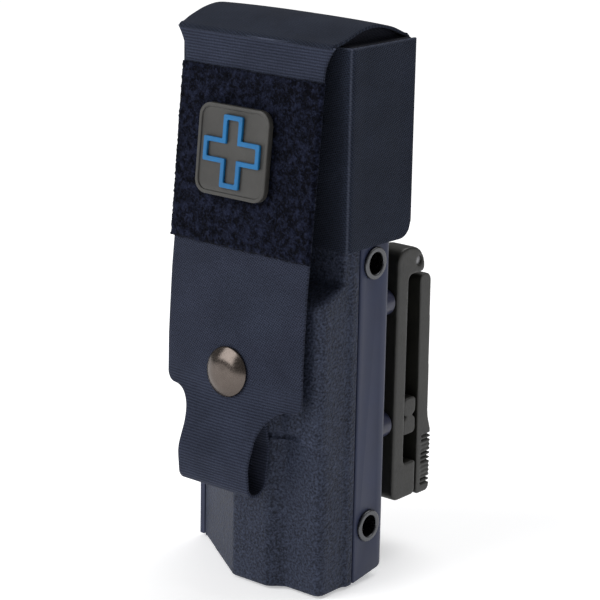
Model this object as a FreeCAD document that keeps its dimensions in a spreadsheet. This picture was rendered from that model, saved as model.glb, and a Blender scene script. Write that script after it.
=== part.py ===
import FreeCAD, Part
import math
import os
import Sketcher

# A rigid belt case for a folded tourniquet: two moulded half shells, a fabric hood that
# hinges open, a front strap with a snap and a finger pull loop, and a locking belt clip.
#
# Everything is drawn from the case's datum: X across (middle = 0), Y from front to back,
# Z up from the lower end of the case. Each sub-part's Placement then carries it into the
# part's frame, whose origin is the middle of the belt slot. Millimetres and degrees.

doc = FreeCAD.newDocument("tourniquet_case")
Vec = FreeCAD.Vector


# ---------------------------------------------------------------- sizes
class Size:
    """A number together with the spreadsheet expression that gives it."""

    def __init__(self, number, text):
        self.number = number
        self.text = text

    def __add__(self, other):
        other = as_size(other)
        return Size(self.number + other.number, f"({self.text} + {other.text})")

    def __radd__(self, other):
        return as_size(other) + self

    def __sub__(self, other):
        other = as_size(other)
        return Size(self.number - other.number, f"({self.text} - {other.text})")

    def __rsub__(self, other):
        return as_size(other) - self

    def __mul__(self, other):
        other = as_size(other)
        return Size(self.number * other.number, f"{self.text} * {other.text}")

    def __rmul__(self, other):
        return as_size(other) * self

    def __truediv__(self, other):
        other = as_size(other)
        return Size(self.number / other.number, f"{self.text} / {other.text}")

    def __neg__(self):
        return Size(-self.number, f"(-1 * {self.text})")


def as_size(value):
    return value if isinstance(value, Size) else Size(float(value), repr(float(value)))


def tangent(angle):
    return Size(math.tan(math.radians(angle.number)), f"tan({angle.text} * 1 deg)")


def arc_tangent(ratio):
    return Size(math.degrees(math.atan(ratio.number)), f"atan({ratio.text})")


class Sizes:
    """The spreadsheet of driving sizes: sizes.name reads one of them."""

    def __init__(self):
        self.sheet = doc.addObject("Spreadsheet::Sheet", "Sizes")
        self.row = 0

    def add(self, alias, number, note):
        self.row += 1
        self.sheet.set(f"A{self.row}", str(number))
        self.sheet.setAlias(f"A{self.row}", alias)
        self.sheet.set(f"B{self.row}", note)
        setattr(self, alias, Size(float(number), f"Sizes.{alias}"))


s = Sizes()
for entry in (
    # where the part's origin lies, the middle of the belt slot
    ("gap", 0.3, "clearance between pieces that move past each other"),
    # shells
    ("case_half", 30.6, "half of the case's width"),
    ("wall", 2.0, "moulded sheet thickness"),
    ("rear_face", 22.4, "outside of the rear shell behind the datum"),
    ("seam_depth", 8.0, "front edge of the rear shell's flanges"),
    ("seam_gap", 0.3, "open joint along the seam, and between lap and flange"),
    ("rear_height", 140.0, "height of the rear shell"),
    ("neck_height", 118.0, "height of the front shell"),
    ("flat_front", 7.1, "front shell's flat ahead of the datum, lower half"),
    ("crest_front", 10.6, "front shell's rib ahead of the datum, lower half"),
    ("step_out", 1.5, "how far the upper flat stands ahead of the lower one"),
    ("crest_step", 0.9, "how far the upper rib stands ahead of the lower one"),
    ("step_height", 46.0, "height of the step between the two"),
    ("bulge_half", 29.9, "half of the width of the grained front bulge"),
    ("bulge_edge", 4.6, "where the bulge's side meets the smooth edge"),
    ("rib_right", 12.4, "right edge of the rib"),
    ("rib_slope", 4.4, "width of the slope from the rib to the flat"),
    ("facet_angle", 34.0, "slope of the left front facet"),
    ("shoulder_low", 88.0, "where the bulge starts to run back to the neck"),
    ("shoulder_high", 93.0, "where it meets the neck"),
    ("neck_front", 1.4, "outside of the neck behind the datum"),
    ("nut", 1.2, "thickness of the clip's nuts inside the rear shell"),
    ("floor_rise", 2.4, "floor of the front shell above the lower end"),
    ("drain_radius", 4.0, "drain hole in the floor"),
    ("end_rise", 2.2, "rise of the flanges' lower edge towards the back"),
    ("end_corner", 3.6, "cut corner at the lower back"),
    # side eyelets
    ("eyelet_depth", 14.1, "eyelets behind the datum"),
    ("eyelet_low", 17.0, "height of the lower eyelets"),
    ("eyelet_pitch", 80.4, "distance between an upper and a lower eyelet"),
    ("eyelet_bore", 3.25, "bore radius"),
    ("eyelet_barrel", 3.85, "barrel's outer radius"),
    ("eyelet_flange", 4.8, "flange radius"),
    ("eyelet_lip", 0.95, "flange thickness"),
    # belt clip
    ("clip_half", 26.5, "half of the clip's width"),
    ("clip_gap", 8.8, "space between case and clip plate, bridged by spacers"),
    ("plate", 5.4, "clip plate thickness"),
    ("belt_gap", 6.4, "belt slot from plate to gate"),
    ("clip_low", 18.0, "lower end of the clip frame"),
    ("clip_high", 97.0, "upper end of the clip frame"),
    ("window_low", 29.1, "lower end of the clip's window"),
    ("window_high", 88.4, "upper end of the clip's window"),
    ("belt_height", 38.8, "belt slot's height above the spacer bars"),
    ("bar_height", 5.6, "height of one spacer bar"),
    ("bolt_half", 22.2, "half of the screw pattern's width"),
    ("bolt_pitch", 38.1, "screw pattern's height"),
    ("bolt_low", 42.9, "height of the lower screws"),
    ("spacer_radius", 4.1, "radius of the spacers"),
    ("screw_radius", 2.0, "shank radius of the clip screws"),
    ("head_radius", 3.6, "head radius of the clip screws"),
    ("pin_height", 92.2, "gate hinge pin's height"),
    ("pin_radius", 1.3, "gate hinge pin's radius"),
    ("ear", 9.2, "width of each hinge ear"),
    ("gate", 5.6, "gate thickness"),
    ("gate_low", 17.2, "lower end of the gate"),
    ("gate_lean", 0.8, "how far the gate's lower end stands further out"),
    ("grip_bulge", 1.2, "how far the grip stands out of the gate"),
    ("grip_height", 20.5, "height of the ribbed grip"),
    ("rib_pitch", 1.4, "pitch of the grip's ribs"),
    ("rib_depth", 0.7, "depth of the grooves between ribs"),
    ("lock_travel", 3.0, "travel of the lock slide"),
    # hood
    ("hood_depth", 29.4, "depth of the hood behind the datum"),
    ("hood_low", 102.7, "lower edge of the hood"),
    ("hood_high", 160.9, "upper edge of the hood's side panels"),
    ("hood_crown", 5.0, "rise of the arched top panel"),
    ("fabric", 0.9, "laminate thickness"),
    ("top_half", 29.4, "half of the top panel's width"),
    ("brow", 4.42, "how far the top panel runs ahead of the datum"),
    ("anchor_half", 16.0, "half of the hood anchor's width"),
    # strap
    ("strap_half", 25.4, "half of the strap's width"),
    ("strap_length", 104.4, "length of the strap's wide part"),
    ("tab_half", 13.4, "half of the pull tab's width"),
    ("tab_length", 28.4, "pull loop below the strap's wide part"),
    ("notch", 9.5, "radius of the notches beside the tab"),
    ("loop_depth", 4.6, "how far the pull loop bulges forward"),
    ("field_start", 9.5, "top of the loop field below the crease"),
    ("field_length", 51.2, "height of the loop field"),
    ("field", 1.2, "loop field thickness"),
    ("patch", 26.2, "side of the square patch"),
    ("patch_drop", 32.6, "patch centre below the crease"),
    ("patch_shift", -1.4, "patch centre off the middle"),
    ("patch_thick", 2.0, "patch thickness"),
    ("cross", 20.9, "overall size of the plus sign"),
    ("cross_arm", 7.1, "width of its arms"),
    ("cross_line", 1.4, "width of its raised outline"),
    ("snap_rise", 7.7, "snap centre above the end of the strap's wide part"),
    ("snap_radius", 7.5, "snap cap radius"),
    ("stud_radius", 2.1, "snap stud's head radius"),
    # folded tourniquet
    ("band_half", 19.0, "half of the tourniquet strap's width"),
    ("band_depth", 3.8, "thickness of the folded strap"),
    ("rod_length", 138.0, "windlass rod length"),
):
    s.add(*entry)
doc.recompute()

clip_front = s.rear_face + s.clip_gap
plate_back = clip_front + s.plate
gate_front = plate_back + s.belt_gap
belt_low = s.window_high - s.belt_height
origin_depth = plate_back + s.belt_gap / 2
origin_height = s.window_high - s.belt_height / 2
lap_half = s.case_half - s.wall - s.seam_gap
inner_half = lap_half - s.wall
eyelet_high = s.eyelet_low + s.eyelet_pitch
gate_pivot = (plate_back + 4.9, s.pin_height)
head_depth = 2.6
snap_drop = s.strap_length - s.snap_rise
hood_half = s.case_half + s.gap + s.fabric
# the strap leans out so that its lower end clears the front shell's rib
rib_reach = s.crest_front + s.crest_step - s.brow + s.fabric * 1.5 + s.gap * 1.15
strap_tilt = arc_tangent(rib_reach / (snap_drop - 8))
# the folded tourniquet fills the room between the nuts and the neck
band_back = s.rear_face - s.wall - s.nut - s.gap
rod_radius = (band_back - s.band_depth - 3.0 - s.gap - s.wall - s.neck_front) / 2


# ---------------------------------------------------------------- tools
def bind(thing, prop, value):
    value = as_size(value)
    thing.setExpression(prop, value.text)


def settle(thing, at=None, leaning=False):
    """Puts a finished sub-part into the part's frame. A leaning one belongs to the strap:
    it is drawn flat about the crease and turned by the strap's lean."""
    dx, dy, dz = at or (0, 0, 0)
    if leaning:
        dy = as_size(-s.brow)
        dz = s.hood_high
        thing.Placement = FreeCAD.Placement(Vec(0, 0, 0), FreeCAD.Rotation(Vec(1, 0, 0), 1))
        bind(thing, "Placement.Rotation.Angle", -strap_tilt)
    bind(thing, "Placement.Base.x", as_size(dx))
    bind(thing, "Placement.Base.y", as_size(dy) - origin_depth)
    bind(thing, "Placement.Base.z", as_size(dz) - origin_height)
    return thing


def new_body(label):
    body = doc.addObject("PartDesign::Body", label)
    body.Label = label
    return body


def new_sketch(body, plane, lift=0):
    """A sketch on one of the body's origin planes, lifted along that plane's normal:
    XY looks down, YZ looks along X, and XZ's normal points forward (-Y)."""
    sketch = body.newObject("Sketcher::SketchObject", "outline")
    support = [o for o in body.Origin.OriginFeatures if o.Role == plane + "_Plane"][0]
    sketch.AttachmentSupport = [(support, "")]
    sketch.MapMode = "FlatFace"
    bind(sketch, "AttachmentOffset.Base.z", lift)
    return sketch


def draw_outline(sketch, corners):
    """A closed outline through (u, v) corners; a third entry rounds that corner."""
    places = [(as_size(c[0]), as_size(c[1])) for c in corners]
    radii = [as_size(c[2]) if len(c) > 2 else None for c in corners]
    spots = [Vec(u.number, v.number, 0) for u, v in places]
    count = len(spots)
    starts, ends = list(spots), list(spots)
    used = [0.0] * count
    for i, radius in enumerate(radii):
        if radius is None:
            continue
        back = (spots[i - 1] - spots[i]).normalize()
        ahead = (spots[(i + 1) % count] - spots[i]).normalize()
        half = back.getAngle(ahead) / 2
        reach = radius.number / math.tan(half)
        ends[i] = spots[i] + back * reach
        starts[i] = spots[i] + ahead * reach
        used[i] = reach
    for i in range(count):
        room = (spots[i] - spots[i - 1]).Length
        if used[i] + used[i - 1] > room:
            where = sketch.getParentGeoFeatureGroup().Label
            raise ValueError(f"{where}: corner {i} is too round for its side")
    lines = [
        sketch.addGeometry(Part.LineSegment(starts[i], ends[(i + 1) % count]), False)
        for i in range(count)
    ]
    for i, (u, v) in enumerate(places):
        before, after = lines[i - 1], lines[i]
        if radii[i] is None:
            sketch.addConstraint(Sketcher.Constraint("Coincident", before, 2, after, 1))
            hold_point(sketch, after, 1, u, v)
            continue
        back = (ends[i] - spots[i]).normalize()
        ahead = (starts[i] - spots[i]).normalize()
        middle = (back + ahead).normalize()
        half = back.getAngle(ahead) / 2
        centre = spots[i] + middle * (radii[i].number / math.sin(half))
        turns_left = (back.cross(ahead)).z < 0
        first, last = (ends[i], starts[i]) if turns_left else (starts[i], ends[i])
        a0 = math.atan2((first - centre).y, (first - centre).x)
        a1 = math.atan2((last - centre).y, (last - centre).x)
        circle = Part.Circle(centre, Vec(0, 0, 1), radii[i].number)
        arc = sketch.addGeometry(Part.ArcOfCircle(circle, a0, a1), False)
        corner = sketch.addGeometry(Part.Point(spots[i]), True)
        hold_point(sketch, corner, 1, u, v)
        sketch.addConstraint(Sketcher.Constraint("PointOnObject", corner, 1, before))
        sketch.addConstraint(Sketcher.Constraint("PointOnObject", corner, 1, after))
        into, out = (1, 2) if turns_left else (2, 1)
        sketch.addConstraint(Sketcher.Constraint("Tangent", before, 2, arc, into))
        sketch.addConstraint(Sketcher.Constraint("Tangent", after, 1, arc, out))
        hold_value(sketch, Sketcher.Constraint("Radius", arc, radii[i].number), radii[i])


def hold_value(sketch, constraint, value):
    index = sketch.addConstraint(constraint)
    name = f"size_{index}"
    sketch.renameConstraint(index, name)
    sketch.setExpression("Constraints." + name, value.text)


def hold_point(sketch, shape, end, u, v):
    for kind, value in (("DistanceX", u), ("DistanceY", v)):
        hold_value(sketch, Sketcher.Constraint(kind, -1, 1, shape, end, value.number), value)


def draw_circle(sketch, u, v, radius):
    u, v, radius = as_size(u), as_size(v), as_size(radius)
    circle = Part.Circle(Vec(u.number, v.number, 0), Vec(0, 0, 1), radius.number)
    shape = sketch.addGeometry(circle, False)
    hold_point(sketch, shape, 3, u, v)
    hold_value(sketch, Sketcher.Constraint("Radius", shape, radius.number), radius)


def extrude(body, kind, sketch, length, middle, backwards):
    feature = body.newObject("PartDesign::" + kind, kind.lower())
    feature.Profile = sketch
    feature.SideType = "Symmetric" if middle else "One side"
    feature.Reversed = backwards
    bind(feature, "Length", length)
    doc.recompute()
    return feature


def pad(body, plane, corners, length, lift=0, middle=False):
    sketch = new_sketch(body, plane, lift)
    draw_outline(sketch, corners)
    extrude(body, "Pad", sketch, length, middle, False)
    return body


def pocket(body, plane, corners, length, lift=0, middle=False):
    """Cuts along the plane's normal from the lifted sketch, or to both sides of it;
    the corners may also be a function that draws the sketch."""
    sketch = new_sketch(body, plane, lift)
    if callable(corners):
        corners(sketch)
    else:
        draw_outline(sketch, corners)
    before = body.Shape.Volume
    extrude(body, "Pocket", sketch, length, middle, True)
    if body.Shape.Volume >= before - 1e-3:
        raise ValueError(body.Label + ": a pocket cuts nothing")
    return body


def drill(body, plane, holes, length, lift=0, middle=False):
    def circles(sketch):
        for u, v, radius in holes:
            draw_circle(sketch, u, v, radius)

    return pocket(body, plane, circles, length, lift, middle)


def turn(label, corners, axis="V_Axis"):
    """A solid of revolution: an outline in the XZ plane turned about Z (V) or X (H)."""
    body = new_body(label)
    sketch = new_sketch(body, "XZ")
    draw_outline(sketch, corners)
    feature = body.newObject("PartDesign::Revolution", "turned")
    feature.Profile = sketch
    feature.ReferenceAxis = (sketch, [axis])
    feature.Angle = 360
    doc.recompute()
    return body


def box(label, low, high):
    """A plain block between two corners."""
    thing = doc.addObject("Part::Box", label)
    thing.Label = label
    low = [as_size(v) for v in low]
    high = [as_size(v) for v in high]
    for prop, a, b in zip(("Length", "Width", "Height"), low, high):
        bind(thing, prop, b - a)
    for axis, a in zip("xyz", low):
        bind(thing, "Placement.Base." + axis, a)
    return thing


def cylinder(label, radius, start, length, along):
    """A round bar from start along the named axis."""
    thing = doc.addObject("Part::Cylinder", label)
    thing.Label = label
    bind(thing, "Radius", radius)
    bind(thing, "Height", length)
    turned = {
        "x": FreeCAD.Rotation(Vec(0, 1, 0), 90),
        "y": FreeCAD.Rotation(Vec(1, 0, 0), -90),
        "z": FreeCAD.Rotation(),
    }[along]
    thing.Placement = FreeCAD.Placement(Vec(0, 0, 0), turned)
    for axis, a in zip("xyz", start):
        bind(thing, "Placement.Base." + axis, as_size(a))
    return thing


def cut(label, base, *tools):
    for tool in tools:
        result = doc.addObject("Part::Cut", label if tool is tools[-1] else label + "_rough")
        result.Base = base
        result.Tool = tool
        base = result
    base.Label = label
    return base


def fuse(label, *pieces):
    result = doc.addObject("Part::MultiFuse", label)
    result.Shapes = list(pieces)
    result.Label = label
    return result


def group(label, pieces):
    """Separate solids under one name, such as a set of alike fasteners."""
    result = doc.addObject("Part::Compound", label)
    result.Links = list(pieces)
    result.Label = label
    return result


nodes = {}


def finish(thing, at=None, leaning=False):
    nodes[thing.Label] = settle(thing, at, leaning)
    return thing


def rectangle(u0, v0, u1, v1, radius=None):
    tail = () if radius is None else (radius,)
    return [(u0, v0) + tail, (u1, v0) + tail, (u1, v1) + tail, (u0, v1) + tail]


# ---------------------------------------------------------------- front shell
def front_outline(flat, crest):
    """Section of the front shell: right lap, smooth edge, flat, rib, slanted left facet."""
    slope = tangent(s.facet_angle)
    foot = s.seam_depth - s.seam_gap
    facet_foot = -(lap_half - 0.8)
    return [
        (lap_half, s.rear_face - s.wall - 0.6),
        (lap_half, foot),
        (s.case_half, foot),
        (s.case_half, s.bulge_edge, 0.8),
        (s.bulge_half, s.bulge_edge - 0.8),
        (s.bulge_half, -flat, 3.0),
        (s.rib_right + s.rib_slope, -flat, 2.0),
        (s.rib_right, -crest, 2.0),
        (facet_foot + (foot + crest) / slope, -crest, 1.2),
        (facet_foot, foot),
        (-lap_half, foot),
        (-lap_half, s.rear_face - s.wall - 0.6),
    ]


def cavity_outline(flat, crest):
    """Section of its hollow, one sheet thickness inside, open at the back."""
    slope = tangent(s.facet_angle)
    foot = s.seam_depth - s.seam_gap
    shift = s.wall * tangent(s.facet_angle / 2)
    rib_left = -(lap_half - 0.8) + (foot + crest) / slope + shift
    facet_end = s.wall - crest + (inner_half + rib_left) * slope
    side = s.bulge_half - s.wall
    return [
        (inner_half, s.rear_face),
        (inner_half, foot + 0.8),
        (side, foot - 0.7),
        (side, s.wall - flat, 1.2),
        (s.rib_right + s.rib_slope - 0.8, s.wall - flat, 3.0),
        (s.rib_right - 0.8, s.wall - crest, 1.0),
        (rib_left, s.wall - crest),
        (-inner_half, facet_end),
        (-inner_half, s.rear_face),
    ]


def plain_outline(flat, crest):
    """The same hollow above the rib, where the front is flat from side to side."""
    slope = tangent(s.facet_angle)
    foot = s.seam_depth - s.seam_gap
    section = cavity_outline(flat, crest)
    facet_end = section[-2][1]
    meets = (facet_end - s.wall + flat) / slope - inner_half
    side = s.bulge_half - s.wall
    return [
        (inner_half, s.rear_face),
        (inner_half, foot + 0.8),
        (side, foot - 0.7),
        (side, s.wall - flat, 1.2),
        (meets, s.wall - flat),
        (-inner_half, facet_end),
        (-inner_half, s.rear_face),
    ]


def side_trim():
    """What the raised, rounded lower end takes off the flanges, seen along X."""
    return [
        (s.seam_depth - 2, -1),
        (s.rear_face + 1, -1),
        (s.rear_face + 1, s.end_rise + s.end_corner),
        (s.rear_face, s.end_rise + s.end_corner),
        (s.rear_face - 0.75, s.end_rise + 1.2),
        (s.rear_face - s.end_corner + 0.6, s.end_rise),
        (s.seam_depth - 2, 0),
    ]


def front_shell():
    upper_flat = s.flat_front + s.step_out
    upper_crest = s.crest_front + s.crest_step
    body = new_body("front_shell_moulding")
    pad(body, "XY", front_outline(s.flat_front, s.crest_front), s.step_height)
    pad(body, "XY", front_outline(upper_flat, upper_crest), s.neck_height - s.step_height, s.step_height)
    # the shoulder runs back to the neck
    far = as_size(-30)
    brink = s.shoulder_low - 6.5
    shoulder = [
        (far, brink),
        (-upper_crest, brink),
        (-upper_flat, s.shoulder_low),
        (s.neck_front, s.shoulder_high),
        (s.neck_front, s.neck_height + 1),
        (far, s.neck_height + 1),
    ]
    pocket(body, "YZ", shoulder, 4 * s.case_half, middle=True)
    floor = s.floor_rise + s.wall
    pocket(body, "XY", cavity_outline(s.flat_front, s.crest_front), s.step_height + 1 - floor, floor)
    roof = s.shoulder_low - 1.5
    ribbed = brink - 1.5
    pocket(body, "XY", cavity_outline(upper_flat, upper_crest), ribbed - s.step_height, s.step_height)
    pocket(body, "XY", plain_outline(upper_flat, upper_crest), roof - ribbed + 0.5, ribbed - 0.5)
    neck = rectangle(-inner_half, s.neck_front + s.wall, inner_half, s.rear_face)
    pocket(body, "XY", neck, s.neck_height + 1 - roof, roof - 0.5)
    # lower end: the floor sits up inside the rim, and the laps stop at the floor
    rim = cavity_outline(s.flat_front, s.crest_front)
    pocket(body, "XY", rim, s.floor_rise)
    drill(body, "XY", [(0, s.seam_depth, s.drain_radius)], 3 * s.wall, s.floor_rise - 1)
    lap_foot = rectangle(s.seam_depth, -1, s.rear_face, s.floor_rise)
    pocket(body, "YZ", lap_foot, 4 * s.case_half, middle=True)
    # eyelet holes through both laps
    holes = [(s.eyelet_depth, height, s.eyelet_barrel + 0.05) for height in (s.eyelet_low, eyelet_high)]
    drill(body, "YZ", holes, 4 * s.case_half, middle=True)
    # a round seat for the snap, square to the strap, with its wall carried inside
    seat_floor = 4.6
    boss = cylinder("snap_boss", s.snap_radius + 1.4, (0, 2.6, -snap_drop), 6.0, "y")
    seat = cylinder("snap_seat", s.snap_radius - 0.2, (0, seat_floor - 9, -snap_drop), 9, "y")
    shank = cylinder("snap_shank", 1.75, (0, 0, -snap_drop), 12, "y")
    room = cylinder("rivet_room", 4.3, (0, seat_floor + 2, -snap_drop), 6, "y")
    lean = FreeCAD.Rotation(Vec(1, 0, 0), 1)
    turned = []
    for tool in (boss, seat, shank, room):
        holder = group(tool.Label + "_leaning", [tool])
        holder.Placement = FreeCAD.Placement(Vec(0, 0, 0), lean)
        bind(holder, "Placement.Rotation.Angle", -strap_tilt)
        bind(holder, "Placement.Base.y", -s.brow)
        bind(holder, "Placement.Base.z", s.hood_high)
        turned.append(holder)
    whole = fuse("front_shell_with_boss", body, turned[0])
    finish(cut("front_shell", whole, *turned[1:]))


# ---------------------------------------------------------------- rear shell
def rear_shell():
    inside = s.case_half - s.wall
    back = s.rear_face - s.wall
    outline = [
        (s.case_half, s.seam_depth, 0.5),
        (s.case_half, s.rear_face, 2.6),
        (-s.case_half, s.rear_face, 2.6),
        (-s.case_half, s.seam_depth, 0.5),
        (-inside, s.seam_depth),
        (-inside, back, 0.6),
        (inside, back, 0.6),
        (inside, s.seam_depth),
    ]
    body = new_body("rear_shell")
    pad(body, "XY", outline, s.rear_height)
    pocket(body, "YZ", side_trim(), 4 * s.case_half, middle=True)
    holes = [(s.eyelet_depth, height, s.eyelet_barrel + 0.05) for height in (s.eyelet_low, eyelet_high)]
    drill(body, "YZ", holes, 4 * s.case_half, middle=True)
    drill(body, "XZ", [(x, z, s.screw_radius + 0.6) for x, z in bolt_places()], 4 * s.wall, -s.rear_face - 1)
    drill(body, "XZ", [(x, z, 1.65) for x, z in rivet_places()], 4 * s.wall, -s.rear_face - 1)
    finish(body)


def bolt_places():
    return [
        (side * s.bolt_half, height)
        for height in (s.bolt_low, s.bolt_low + s.bolt_pitch)
        for side in (1, -1)
    ]


def rivet_places():
    return [(side * s.anchor_half * 0.62, s.hood_low + up) for up in (11, 25) for side in (1, -1)]


# ---------------------------------------------------------------- side eyelets
def side_eyelets():
    """Tubular rivets through the flanges and laps, two on each side."""
    outer = s.case_half + s.eyelet_lip
    inner = inner_half - s.eyelet_lip
    profile = [
        (inner, s.eyelet_bore, 0.25),
        (outer, s.eyelet_bore, 0.45),
        (outer, s.eyelet_flange, 0.45),
        (s.case_half, s.eyelet_flange),
        (s.case_half, s.eyelet_barrel),
        (inner_half, s.eyelet_barrel),
        (inner_half, s.eyelet_flange - 0.3, 0.4),
        (inner, s.eyelet_flange - 0.3, 0.4),
    ]
    pieces = []
    for side in (0, 180):
        for height in (s.eyelet_low, eyelet_high):
            body = turn("eyelet", profile, "H_Axis")
            body.Placement = FreeCAD.Placement(Vec(0, 0, 0), FreeCAD.Rotation(Vec(0, 0, 1), side))
            bind(body, "Placement.Base.y", s.eyelet_depth)
            bind(body, "Placement.Base.z", height)
            pieces.append(body)
    finish(group("side_eyelets", pieces))


# ---------------------------------------------------------------- belt clip
def clip_frame():
    body = new_body("clip_frame")
    ear_back = gate_pivot[0] + 2.9
    outline = [
        (clip_front, s.clip_low, 3.2),
        (clip_front, s.clip_high, 4.0),
        (ear_back, s.clip_high, 7.0),
        (ear_back, s.window_high, 1.4),
        (plate_back, s.window_high, 2.0),
        (plate_back, s.window_low, 1.2),
        (gate_front - s.gap, s.window_low, 0.8),
        (gate_front - s.gap, s.clip_low, 1.6),
    ]
    pad(body, "YZ", outline, 2 * s.clip_half, middle=True)
    # room for the gate's knuckle between the ears
    knuckle = s.clip_half - s.ear
    notch = [
        (plate_back + 0.6, s.window_high - 1),
        (ear_back + 2, s.window_high - 1),
        (ear_back + 2, s.clip_high + 1),
        (plate_back + 0.6, s.clip_high + 1),
    ]
    pocket(body, "YZ", notch, 2 * knuckle, middle=True)
    drill(body, "YZ", [(*gate_pivot, s.pin_radius)], 3 * s.clip_half, middle=True)
    # screw holes with counterbores on the belt side
    screws = [(x, z, s.screw_radius + 0.15) for x, z in bolt_places()]
    drill(body, "XZ", screws, s.plate + 2, -plate_back - 1)
    heads = [(x, z, s.head_radius + 0.2) for x, z in bolt_places()]
    drill(body, "XZ", heads, head_depth + 1, -plate_back - 1)
    # catch pockets in the lower block
    for side in (-1, 1):
        catch = rectangle(side * 14 - 3.4, s.window_low - 8.4, side * 14 + 3.4, s.window_low - 2.6)
        pocket(body, "XZ", catch, 3.4 + 1, -gate_front - 0.7)
    finish(body)


def clip_hardware():
    spacers, screws, nuts = [], [], []
    hole = s.screw_radius + 0.3
    for x, z in bolt_places():
        profile = [
            (hole, 0),
            (s.spacer_radius, 0, 1.3),
            (s.spacer_radius, s.clip_gap, 1.3),
            (hole, s.clip_gap),
        ]
        spacer = turn("spacer", profile)
        seat = s.nut + s.wall + s.clip_gap + s.plate - head_depth
        screw_profile = [
            (0, 0),
            (s.screw_radius, 0),
            (s.screw_radius, seat),
            (s.head_radius, seat, 0.2),
            (s.head_radius, seat + 1.8, 0.9),
            (1.3, seat + 1.8),
            (1.3, seat + 0.5),
            (0, seat + 0.5),
        ]
        screw = turn("screw", screw_profile)
        nut_profile = [
            (s.screw_radius, 0),
            (3.2, 0, 0.3),
            (3.2, s.nut),
            (s.screw_radius, s.nut),
        ]
        nut = turn("nut", nut_profile)
        inside = s.rear_face - s.wall - s.nut
        for piece, depth in ((spacer, s.rear_face), (screw, inside), (nut, inside)):
            piece.Placement = FreeCAD.Placement(Vec(0, 0, 0), FreeCAD.Rotation(Vec(1, 0, 0), -90))
            bind(piece, "Placement.Base.x", x)
            bind(piece, "Placement.Base.y", depth)
            bind(piece, "Placement.Base.z", z)
        spacers.append(spacer)
        screws.append(screw)
        nuts.append(nut)
    finish(group("clip_spacers", spacers))
    finish(group("clip_screws", screws))
    finish(group("clip_nuts", nuts))
    pin = cylinder("pin", s.pin_radius, (-s.clip_half + 0.6, *gate_pivot), 2 * s.clip_half - 1.2, "x")
    finish(group("clip_hinge_pin", [pin]))


def belt_bars():
    """Two spacer bars that set the belt slot's height, each with two pegs in the plate."""
    bars = []
    for i in range(2):
        top = belt_low - i * (s.bar_height + 0.5)
        body = new_body("belt_bar")
        outline = rectangle(plate_back, top - s.bar_height, gate_front - s.gap, top, 1.6)
        pad(body, "YZ", outline, 2 * s.clip_half - 1.0, middle=True)
        bars.append(body)
    finish(group("belt_bars", bars))


def clip_gate():
    body = new_body("clip_gate")
    back = gate_front + s.gate
    grip_top = s.gate_low + s.grip_height
    leaf = [
        (gate_front, s.window_high - 1.0, 1.6),
        (gate_front + s.gap + s.gate_lean, s.gate_low, 1.2),
        (back + s.grip_bulge + s.gate_lean, s.gate_low, 2.0),
        (back + s.grip_bulge + s.gate_lean, grip_top - 1.0, 3.0),
        (back + s.gate_lean / 2, grip_top + 4.0, 5.0),
        (back - 0.4, s.window_high - 1.0, 2.6),
    ]
    width = s.clip_half - 0.5
    pad(body, "YZ", leaf, 2 * width, middle=True)
    # neck and knuckle between the frame's ears
    knuckle = s.clip_half - s.ear - s.gap
    neck = [
        (gate_pivot[0] - 1.6, s.pin_height - 2.6, 1.0),
        (gate_front + 1.0, s.window_high - 5),
        (back - 1.2, s.window_high - 5),
        (back - 1.2, s.pin_height - 1.0, 3.0),
        (gate_pivot[0] + 0.4, s.pin_height + 3.0, 2.4),
        (gate_pivot[0] - 3.0, s.pin_height + 2.4, 2.0),
    ]
    pad(body, "YZ", neck, 2 * knuckle, middle=True)
    drill(body, "YZ", [(*gate_pivot, s.pin_radius + 0.05)], 3 * s.clip_half, middle=True)
    # catches that reach into the frame's lower block
    for side in (-1, 1):
        catch = rectangle(side * 14 - 2.6, s.window_low - 7.4, side * 14 + 2.6, s.window_low - 4.2, 0.5)
        pad(body, "XZ", catch, 3.6, -gate_front - s.gap - s.gate_lean - 0.6)
    # T slot for the lock slide
    depth = 4.0
    slot_back = back + s.grip_bulge + s.gate_lean
    low = s.gate_low + 4.0
    high = low + 9.0 + s.lock_travel + 2 * s.gap
    pocket(body, "XZ", rectangle(-6.3, low, 6.3, high), depth + 1, -slot_back - 1)
    wide = rectangle(-8.3, low, 8.3, high)
    pocket(body, "XZ", wide, depth - 1.6, -slot_back + 1.6)
    # grooves between the grip's ribs, on the sides and round the back edge
    for side in (-1, 1):
        for i in range(12):
            z = s.gate_low + 2.6 + i * s.rib_pitch
            groove = rectangle(gate_front + 3.0, z, slot_back + 1, z + s.rib_pitch * 0.45)
            start = side * (width - s.rib_depth) if side > 0 else -width - 1
            pocket(body, "YZ", groove, s.rib_depth + 1, start)
            edge = rectangle(side * (width + 1), z, side * (width - 6), z + s.rib_pitch * 0.45)
            pocket(body, "XZ", edge, s.rib_depth + 1, -slot_back - 1)
    finish(body)


def lock_slide():
    """A sliding safety lock in the gate's T slot, with ribs for the thumb."""
    slot_back = gate_front + s.gate + s.grip_bulge + s.gate_lean
    low = s.gate_low + 4.0 + s.gap
    depth = 4.0
    body = new_body("lock_slide")
    top = slot_back + 0.9
    shape = [
        (-8.0, slot_back - depth + s.gap),
        (8.0, slot_back - depth + s.gap),
        (8.0, slot_back - 1.6 - s.gap),
        (6.0, slot_back - 1.6 - s.gap),
        (6.0, top, 0.6),
        (-6.0, top, 0.6),
        (-6.0, slot_back - 1.6 - s.gap),
        (-8.0, slot_back - 1.6 - s.gap),
    ]
    pad(body, "XY", shape, 9.0, low)
    for i in range(3):
        z = low + 1.8 + i * 2.2
        pocket(body, "XZ", rectangle(-7, z, 7, z + 1.0), 0.6 + 1, -top - 1)
    finish(body)


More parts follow.
